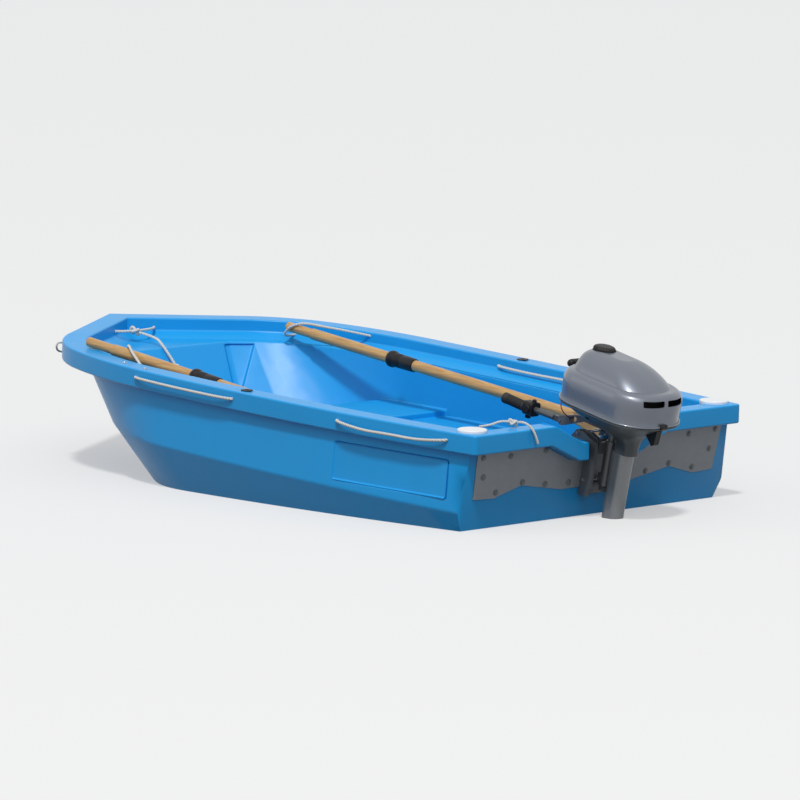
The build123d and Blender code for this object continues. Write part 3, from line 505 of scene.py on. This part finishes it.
starter = grip_shape("starter_pull", spot(0.200, 0, 0.192), 0.084, 0.030, 0.030, "motor",
                     "black_plastic")
turned("starter_neck", spot(0.166, 0, 0.192), spot(0.2, 0, 0.192),
       [(0, 0.013), (0.012, 0.012), (0.014, 0.008), (0.030, 0.007)], "motor", "cowl_silver")
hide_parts("starter_grip")
turned("side_plug", spot(0.010, 0.108, 0.086), spot(0.010, 0.150, 0.080),
       [(0, 0.010), (0.012, 0.010), (0.0135, 0.0085), (0.0137, 0.001)], "motor",
       "black_plastic")
grip_shape("cowl_latch", spot(-0.206, 0, 0.108), 0.030, 0.020, 0.016, "motor",
           "black_plastic")
print("cowling trimmed")

# %% [markdown]
# ## Tiller
# The tiller ends in a rubber twist grip with ribs round it for wet hands. Behind it sit
# the throttle's drum, a friction knob and the stop button. Their sizes are read from the
# CAD pieces that they dress, so they stay in line with the tiller as it folds.

# %% Ribbed grip
def reach_of(node):
    """A CAD piece's limits along the outboard's own axes."""
    spots = [v.co - SWIVEL for v in frame["nodes"][node].data.vertices]
    return [(min(p.dot(axis) for p in spots), max(p.dot(axis) for p in spots))
            for axis in (AHEAD, PORT, UP)]


(aft, fore), (right, left), (low, high) = reach_of("tiller_grip")
across = min(left - right, high - low) / 2
RIBS = 12
ribbed = [(0.0, across * 0.94), (0.002, across)]
for rib in range(RIBS):
    at = 0.008 + rib * (fore - aft - 0.030) / RIBS
    ribbed += [(at, across), (at + 0.0012, across * 0.90), (at + 0.0034, across * 0.90),
               (at + 0.0046, across)]
ribbed += [(fore - aft - 0.018, across), (fore - aft - 0.016, across * 1.05),
           (fore - aft - 0.004, across * 1.05), (fore - aft - 0.001, across * 0.8),
           (fore - aft, across * 0.1)]
centre = ((left + right) / 2, (low + high) / 2)
ribbed_grip = turned("ribbed_grip", spot(aft, *centre), spot(fore, *centre), ribbed,
                     "tiller", "rubber", sides=36)
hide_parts("tiller_grip")

# %% Throttle drum, friction knob and stop button
(aft, fore), (right, left), (low, high) = reach_of("throttle_box")
middle = (aft + fore) / 2
turned("throttle_drum", spot(middle, right - 0.004, (low + high) / 2),
       spot(middle, left + 0.004, (low + high) / 2),
       [(0, 0.011), (0.002, 0.013), (left - right + 0.006, 0.013),
        (left - right + 0.008, 0.011)], "tiller", "black_plastic")
turned("friction_knob", spot(fore - 0.012, 0, low + 0.004), spot(fore - 0.012, 0, low - 0.02),
       [(0, 0.006), (0.006, 0.006), (0.007, 0.010), (0.014, 0.010), (0.016, 0.008)],
       "tiller", "black_plastic", sides=36, flutes=9, depth=0.0012)
turned("stop_button", spot(aft + 0.012, 0, high - 0.002), spot(aft + 0.012, 0, high + 0.02),
       [(0, 0.009), (0.004, 0.009), (0.005, 0.007), (0.010, 0.0065), (0.0112, 0.004)],
       "tiller", "black_plastic")

print("throttle fitted")

# %% [markdown]
# ## Pocket mats
# The two pockets in the bow have a waffled texture on their backs. A bump map alone looks
# flat at this slant, so a thin sheet with a real wave lies on each pocket's back. Its
# points are found by casting rays onto the hull, since the back follows a raked wall.

# %% Mats in the bow pockets
BOW_X = 1.2
SHOULDER_X = 0.95
SHOULDER_Y = 0.4020
MAT_FROM = 0.378
MAT_WIDE = 0.092
MAT_LOW = 0.174
MAT_TOP = 0.310
MAT_TAPER = 0.060
MAT_OFF = 0.0030
MAT_WAVE = 0.0006


hull_copy = merged_copy("hull")
hull_tree = BVHTree.FromBMesh(hull_copy)
hull_copy.free()


def pocket_mat(name, side):
    """A waffled sheet lying on the pocket's back, found by casting onto the hull."""
    aft_way = Vector((SHOULDER_X - BOW_X, side * SHOULDER_Y, 0)).normalized()
    out = aft_way.cross(Vector((0, 0, 1))) * -side
    shape = bmesh.new()
    rows, columns = 32, 22
    grid = []
    for row in range(rows + 1):
        line = []
        share = row / rows
        height = MAT_LOW + (MAT_TOP - MAT_LOW) * share
        start = MAT_FROM + MAT_TAPER / 3 * (1 - share)
        end = MAT_FROM + MAT_WIDE - MAT_TAPER * (1 - share)
        for column in range(columns + 1):
            along = start + (end - start) * column / columns
            base = Vector((BOW_X, 0, height)) + aft_way * along
            met = hull_tree.ray_cast(base - out * 0.25, out)[0]
            if met is None:
                line.append(None)
                continue
            wave = (math.cos(math.tau * row / 3) + math.cos(math.tau * column / 3)) * MAT_WAVE
            line.append(shape.verts.new(met - out * (MAT_OFF + wave)))
        grid.append(line)
    for lower, upper in zip(grid, grid[1:]):
        for column in range(columns):
            corners = (lower[column], lower[column + 1], upper[column + 1], upper[column])
            if all(corners):
                shape.faces.new(corners)
    return place_piece(name, shape, "hull", "hull")


for side, name in ((1, "mat_port"), (-1, "mat_starboard")):
    mat = pocket_mat(name, side)
    print(name, len(mat.data.polygons), "faces")

# %% [markdown]
# ## Screws and washers
# The transom sheet is held by domed screws on wide washers. They are spun like the caps,
# all in one mesh, because they never move apart. Two small ones sit on the port rim.

# %% Screws and washers
def fasteners(name, places, out, body, head=0.0065, washer=0.0105, slot="steel"):
    """Domed screw heads on washers, all facing the same way."""
    shape = bmesh.new()
    for place in places:
        lathe(shape, place - out * 0.001, place + out,
              [(0, washer * 0.96), (0.0004, washer), (0.0020, washer), (0.0024, washer * 0.94),
               (0.0025, head), (0.0042, head * 0.93), (0.0055, head * 0.62),
               (0.0060, head * 0.05)], sides=20)
    piece = place_piece(name, shape, body, slot)
    piece.data.set_sharp_from_angle(angle=math.radians(35))
    return piece


SHEET_FACE = 0.042
plate_places = [spot(SHEET_FACE, side * y, z) for y, z in
                ((0.398, -0.030), (0.246, -0.025), (0.225, -0.139), (0.328, -0.123),
                 (0.439, -0.146), (0.505, -0.090), (0.518, -0.025))
                for side in (1, -1)]
plate_places += [spot(SHEET_FACE, side * 0.121, -0.143) for side in (1, -1)]
fasteners("plate_screws", plate_places, -AHEAD, "hull", slot="bracket")
rim_places = [Vector((0.30, 0.628, 0.3752)), Vector((0.42, 0.612, 0.3776))]
fasteners("rim_rivets", rim_places, Vector((0, 0, 1)), "hull", head=0.004, washer=0.007)
print("screws:", len(plate_places) + len(rim_places))

# %% [markdown]
# ## Oars
# Each oar has a black moulded collar that stops it in its rowlock, flared towards the
# handle. It is spun round the oar's own line and stands in for the plain CAD collar. Thin
# ties hold the oars to the rim while the outboard drives the boat.

# %% Oar collars
OARS = {"port": (Vector((0.700, 0.520, 0.4055)), Vector((-1.080, 0.452, 0.2143))),
        "starboard": (Vector((0.740, -0.410, 0.380)), Vector((-1.040, -0.428, 0.2143)))}
COLLAR_FROM = 0.500
for side, (handle, tip) in OARS.items():
    run = (tip - handle).normalized()
    collar = turned(f"collar_{side}", handle + run * (COLLAR_FROM - 0.004), tip,
                    [(0.000, 0.0192), (0.002, 0.0225), (0.008, 0.0275), (0.016, 0.0285),
                     (0.024, 0.0275), (0.030, 0.0245), (0.034, 0.0240), (0.060, 0.0238),
                     (0.062, 0.0226), (0.066, 0.0226), (0.068, 0.0238), (0.110, 0.0232),
                     (0.122, 0.0222), (0.124, 0.0192)], "hull", "black_plastic", sides=40)
    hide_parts(f"oar_collar_{side}")

# %% Ties and the loop at the port bow
TIE = 0.009
LOOP = 0.007
tie_port = [(0.560, 0.556, 0.345), (0.560, 0.505, 0.345), (0.557, 0.478, 0.368),
            (0.549, 0.484, 0.404), (0.515, 0.510, 0.417), (0.470, 0.537, 0.404),
            (0.420, 0.556, 0.384), (0.385, 0.570, 0.371)]
laid_rope("tie_port", tie_port, TIE, "hull")
tie_starboard = [(0.770, -0.478, 0.345), (0.755, -0.420, 0.344), (0.738, -0.384, 0.356),
                 (0.708, -0.384, 0.388), (0.665, -0.412, 0.402), (0.610, -0.440, 0.394),
                 (0.545, -0.490, 0.384), (0.490, -0.560, 0.366)]
laid_rope("tie_starboard", tie_starboard, TIE, "hull")
loop_route = [(0.925, 0.437, 0.368), (0.934, 0.454, 0.372), (0.936, 0.462, 0.354),
              (0.947, 0.440, 0.334), (0.945, 0.407, 0.333)]
laid_rope("bow_loop", loop_route, LOOP, "hull")
print("fittings:", len(finish_of))

# %% [markdown]
# ## Materials
# Each finish is one small procedural network that reads Object coordinates, so a pattern
# stays put when a piece moves. The shared group `wear` gives every finish a soft mottled
# value and fine pitting. A flat colour would be quicker, but it looks like a drawing.

# %% Shared node group
def link(tree, source, target):
    """Join two sockets."""
    tree.links.new(source, target)


def new_group(name, sockets_in, sockets_out):
    """A shader group with float inputs and outputs of the given types."""
    tree = bpy.data.node_groups.new(name, "ShaderNodeTree")
    for label, kind, value in sockets_in:
        socket = tree.interface.new_socket(label, in_out="INPUT", socket_type=kind)
        if value is not None:
            socket.default_value = value
    for label, kind in sockets_out:
        tree.interface.new_socket(label, in_out="OUTPUT", socket_type=kind)
    start = tree.nodes.new("NodeGroupInput")
    end = tree.nodes.new("NodeGroupOutput")
    return tree, start, end


def make_wear():
    """Mottling over a few centimetres, with fine pitting for a bump."""
    tree, start, end = new_group(
        "wear",
        [("Vector", "NodeSocketVector", None), ("Scale", "NodeSocketFloat", 6.0),
         ("Fine", "NodeSocketFloat", 900.0)],
        [("Mottle", "NodeSocketFloat"), ("Fine", "NodeSocketFloat")],
    )
    broad = tree.nodes.new("ShaderNodeTexNoise")
    broad.inputs["Detail"].default_value = 5.0
    broad.inputs["Roughness"].default_value = 0.62
    link(tree, start.outputs["Vector"], broad.inputs["Vector"])
    link(tree, start.outputs["Scale"], broad.inputs["Scale"])
    fine = tree.nodes.new("ShaderNodeTexNoise")
    fine.inputs["Detail"].default_value = 2.0
    link(tree, start.outputs["Vector"], fine.inputs["Vector"])
    link(tree, start.outputs["Fine"], fine.inputs["Scale"])
    link(tree, broad.outputs[0], end.inputs["Mottle"])
    link(tree, fine.outputs[0], end.inputs["Fine"])
    return tree


wear = make_wear()
print("groups:", [g.name for g in bpy.data.node_groups])

# %% One finish from a few numbers
def finish(name, colour, rough=0.4, metal=0.0, coat=0.0, vary=0.06, scale=6.0,
           fine=900.0, bump=0.02, spread=0.08, gloss=0.5):
    """A Principled finish with mottled colour and roughness and a slight bump."""
    made = bpy.data.materials.new(name)
    made.use_nodes = True
    tree = made.node_tree
    shader = tree.nodes["Principled BSDF"]
    shader.inputs["Metallic"].default_value = metal
    shader.inputs["Coat Weight"].default_value = coat
    shader.inputs["Specular IOR Level"].default_value = gloss
    shader.inputs["Coat Roughness"].default_value = 0.12
    where = tree.nodes.new("ShaderNodeTexCoord")
    marks = tree.nodes.new("ShaderNodeGroup")
    marks.node_tree = wear
    marks.inputs["Scale"].default_value = scale
    marks.inputs["Fine"].default_value = fine
    link(tree, where.outputs["Object"], marks.inputs["Vector"])
    tone = tree.nodes.new("ShaderNodeMix")
    tone.data_type = "RGBA"
    tone.inputs["A"].default_value = (*[c * (1 - vary) for c in colour], 1)
    tone.inputs["B"].default_value = (*[min(1, c * (1 + vary)) for c in colour], 1)
    link(tree, marks.outputs["Mottle"], tone.inputs["Factor"])
    link(tree, tone.outputs["Result"], shader.inputs["Base Color"])
    shine = tree.nodes.new("ShaderNodeMapRange")
    shine.inputs["To Min"].default_value = max(0.02, rough - spread)
    shine.inputs["To Max"].default_value = min(1.0, rough + spread)
    link(tree, marks.outputs["Mottle"], shine.inputs["Value"])
    link(tree, shine.outputs["Result"], shader.inputs["Roughness"])
    if bump:
        relief = tree.nodes.new("ShaderNodeBump")
        relief.inputs["Strength"].default_value = bump
        relief.inputs["Distance"].default_value = 0.001
        link(tree, marks.outputs["Fine"], relief.inputs["Height"])
        link(tree, relief.outputs["Normal"], shader.inputs["Normal"])
    return made


# %% [markdown]
# ## Timber
# The oars are varnished softwood, with its grain along the shaft. One noise stretched
# along the oar gives both the streaks and a faint relief, under a thin clear coat.

# %% Timber finish
def timber(name, pale, dark):
    """Varnished wood with its grain along the oar."""
    made = finish(name, pale, rough=0.36, coat=0.25, bump=0.0)
    tree = made.node_tree
    shader = tree.nodes["Principled BSDF"]
    where = tree.nodes.new("ShaderNodeTexCoord")
    along = tree.nodes.new("ShaderNodeMapping")
    along.inputs["Scale"].default_value = (1.6, 46, 46)
    link(tree, where.outputs["Object"], along.inputs["Vector"])
    grain = tree.nodes.new("ShaderNodeTexNoise")
    grain.inputs["Scale"].default_value = 3.0
    grain.inputs["Detail"].default_value = 6.0
    grain.inputs["Distortion"].default_value = 0.6
    link(tree, along.outputs["Vector"], grain.inputs["Vector"])
    ramp = tree.nodes.new("ShaderNodeValToRGB")
    ramp.color_ramp.elements[0].position = 0.36
    ramp.color_ramp.elements[0].color = (*dark, 1)
    ramp.color_ramp.elements[1].position = 0.62
    ramp.color_ramp.elements[1].color = (*pale, 1)
    link(tree, grain.outputs[0], ramp.inputs["Fac"])
    link(tree, ramp.outputs["Color"], shader.inputs["Base Color"])
    relief = tree.nodes.new("ShaderNodeBump")
    relief.inputs["Strength"].default_value = 0.25
    relief.inputs["Distance"].default_value = 0.0006
    link(tree, grain.outputs[0], relief.inputs["Height"])
    link(tree, relief.outputs["Normal"], shader.inputs["Normal"])
    return made


# %% [markdown]
# ## Every finish
# Moulded plastic is slightly rough with a fine grain, so highlights spread. The cowling is
# metallic paint under a clear coat. Its lower half is the same paint with painted shade: a
# darker, duller copy of the colour. The steel is bare.

# %% The finishes
HULL_BLUE = (0.008, 0.330, 0.760)
finishes = {
    "hull": finish("hull plastic", HULL_BLUE, rough=0.36, vary=0.05, fine=420, bump=0.10,
                   gloss=0.34),
    "plate": finish("plate sheet", (0.23, 0.25, 0.275), rough=0.55, metal=0.35, vary=0.22,
                    scale=22, fine=1500, bump=0.06, spread=0.12),
    "white_cap": finish("white cap", (0.78, 0.80, 0.82), rough=0.4, vary=0.03),
    "bracket": finish("bracket paint", (0.12, 0.13, 0.14), rough=0.45, metal=0.3),
    "steel": finish("stainless", (0.50, 0.50, 0.50), rough=0.28, metal=1.0),
    "leg_paint": finish("leg paint", (0.23, 0.24, 0.25), rough=0.38, metal=0.35, coat=0.3),
    "prop_paint": finish("propeller paint", (0.02, 0.02, 0.022), rough=0.35, coat=0.3),
    "cowl_silver": finish("cowl silver", (0.165, 0.185, 0.225), rough=0.36, metal=0.45,
                          coat=0.5, vary=0.03, fine=2600, bump=0.03),
    # Painted shade: the lower cowl is the silver paint, given this darker colour for the shade
    # on it.
    "cowl_dark": finish("cowl silver in painted shade", (0.045, 0.057, 0.065), rough=0.42, vary=0.06),
    "engine": finish("engine iron", (0.05, 0.05, 0.05), rough=0.6, metal=0.5),
    "black_plastic": finish("black plastic", (0.010, 0.010, 0.011), rough=0.42, gloss=0.25),
    "black_paint": finish("tiller paint", (0.10, 0.105, 0.11), rough=0.40, metal=0.5),
    "rubber": finish("black rubber", (0.010, 0.010, 0.011), rough=0.65),
    "timber": timber("timber", (0.56, 0.335, 0.115), (0.42, 0.215, 0.065)),
    "rope": finish("rope", (0.66, 0.65, 0.61), rough=0.85, vary=0.16, scale=240,
                   fine=2400, bump=0.5),
    "cord_red": finish("red cord", (0.42, 0.008, 0.010), rough=0.7, scale=300),
}
for node, piece in frame["nodes"].items():
    piece.data.materials.clear()
    piece.data.materials.append(finishes[slot_of[node]])
for piece, name in finish_of.items():
    piece.data.materials.append(finishes[name])
print("finishes:", len(finishes), "on", len(frame["nodes"]), "CAD nodes")

# %% [markdown]
# ## Floor and light
# The floor is cut away inside the hull, whose cockpit reaches below the waterline.
# The boat floats level with the pale floor, a little down by the stern as it does under
# power. The floor keeps the boat's shadow but looks plain white to the camera.

# %% Floor
floor_mesh = bpy.data.meshes.new("floor")
TRIM = math.radians(2.05)
level = Matrix.Rotation(TRIM, 3, "Y")
UNDER_SKIN = 0.008
NEAR = 3
FAR = 40
shape = bmesh.new()
rings = []
for step in range(360):
    turn = math.radians(step)
    out = Vector((math.cos(turn), math.sin(turn), 0))
    met = hull_tree.ray_cast(level @ out * NEAR, level @ -out)[0]
    edge = (level.inverted() @ met).length - UNDER_SKIN
    rings.append([shape.verts.new(out * reach) for reach in (edge, NEAR, FAR)])
for here, after in zip(rings, rings[1:] + rings[:1]):
    for part in range(2):
        shape.faces.new((here[part], here[part + 1], after[part + 1], after[part]))
shape.to_mesh(floor_mesh)
shape.free()
floor = bpy.data.objects.new("floor", floor_mesh)
scene.collection.objects.link(floor)
floor.rotation_euler = (0, TRIM, 0)
PALE = 0.84
SHADE = 0.10


def seen_pale(tree, seen, hidden):
    """Mix two shaders: one for what sees the surface, one for the light it gives."""
    rays = tree.nodes.new("ShaderNodeLightPath")
    camera_or_gloss = tree.nodes.new("ShaderNodeMath")
    camera_or_gloss.operation = "MAXIMUM"
    link(tree, rays.outputs["Is Camera Ray"], camera_or_gloss.inputs[0])
    link(tree, rays.outputs["Is Glossy Ray"], camera_or_gloss.inputs[1])
    any_view = tree.nodes.new("ShaderNodeMath")
    any_view.operation = "MAXIMUM"
    link(tree, camera_or_gloss.outputs[0], any_view.inputs[0])
    link(tree, rays.outputs["Is Transmission Ray"], any_view.inputs[1])
    mix = tree.nodes.new("ShaderNodeMixShader")
    link(tree, any_view.outputs[0], mix.inputs[0])
    link(tree, hidden.outputs[0], mix.inputs[1])
    link(tree, seen.outputs[0], mix.inputs[2])
    return mix


floor_finish = bpy.data.materials.new("floor")
floor_finish.use_nodes = True
tree = floor_finish.node_tree
seen = tree.nodes["Principled BSDF"]
seen.inputs["Base Color"].default_value = (PALE / 2, PALE / 2, PALE / 2, 1)
seen.inputs["Emission Color"].default_value = (1, 1, 1, 1)
seen.inputs["Emission Strength"].default_value = PALE / 2
seen.inputs["Roughness"].default_value = 0.9
seen.inputs["Specular IOR Level"].default_value = 0.0
hidden = tree.nodes.new("ShaderNodeBsdfDiffuse")
hidden.inputs["Color"].default_value = (SHADE, SHADE, SHADE, 1)
link(tree, seen_pale(tree, seen, hidden).outputs[0],
     tree.nodes["Material Output"].inputs["Surface"])
floor_mesh.materials.append(floor_finish)
floor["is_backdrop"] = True
print("floor at the waterline")

# %% [markdown]
# ## Lights
# High sun from the port side lights the rim, the cowling and the inside of the starboard
# wall. Two large soft lamps keep the shaded port side readable. They are weak enough that
# a colour renders about as written.

# %% Lights
def area_light(name, place, target, size, power, colour=(1, 1, 1)):
    """A square lamp at place that faces target."""
    data = bpy.data.lights.new(name, "AREA")
    data.size = size
    data.energy = power
    data.color = colour
    lamp = bpy.data.objects.new(name, data)
    scene.collection.objects.link(lamp)
    lamp.location = place
    lamp.rotation_mode = "QUATERNION"
    lamp.rotation_quaternion = (Vector(target) - Vector(place)).to_track_quat("-Z", "Y")
    return lamp


sun_data = bpy.data.lights.new("sun", "SUN")
sun_data.energy = 1.9
sun_data.angle = math.radians(6.0)
sun_data.color = (1.0, 0.98, 0.95)
sun = bpy.data.objects.new("sun", sun_data)
scene.collection.objects.link(sun)
sun.rotation_mode = "QUATERNION"
sun.rotation_quaternion = Vector((0.30, -0.40, -0.92)).to_track_quat("-Z", "Y")
area_light("soft key", (-12.0, 9.0, 13.0), (0, 0, 0.2), 9.0, 520)
area_light("soft fill", (10.0, 11.0, 7.0), (0, 0, 0.2), 9.0, 150)
world = bpy.data.worlds.new("studio")
world.use_nodes = True
sky = world.node_tree
lit = sky.nodes["Background"]
lit.inputs["Color"].default_value = (0.90, 0.95, 1.0, 1)
lit.inputs["Strength"].default_value = 0.46
pale = sky.nodes.new("ShaderNodeBackground")
pale.inputs["Color"].default_value = (PALE, PALE, PALE, 1)
link(sky, seen_pale(sky, pale, lit).outputs[0], sky.nodes["World Output"].inputs["Surface"])
scene.world = world
scene.view_settings.view_transform = "Standard"
scene.view_settings.look = "None"

# %% Measure and print the visual box
bpy.context.view_layer.update()
low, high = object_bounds()
print("visual box:", [round(v, 3) for v in low], [round(v, 3) for v in high])
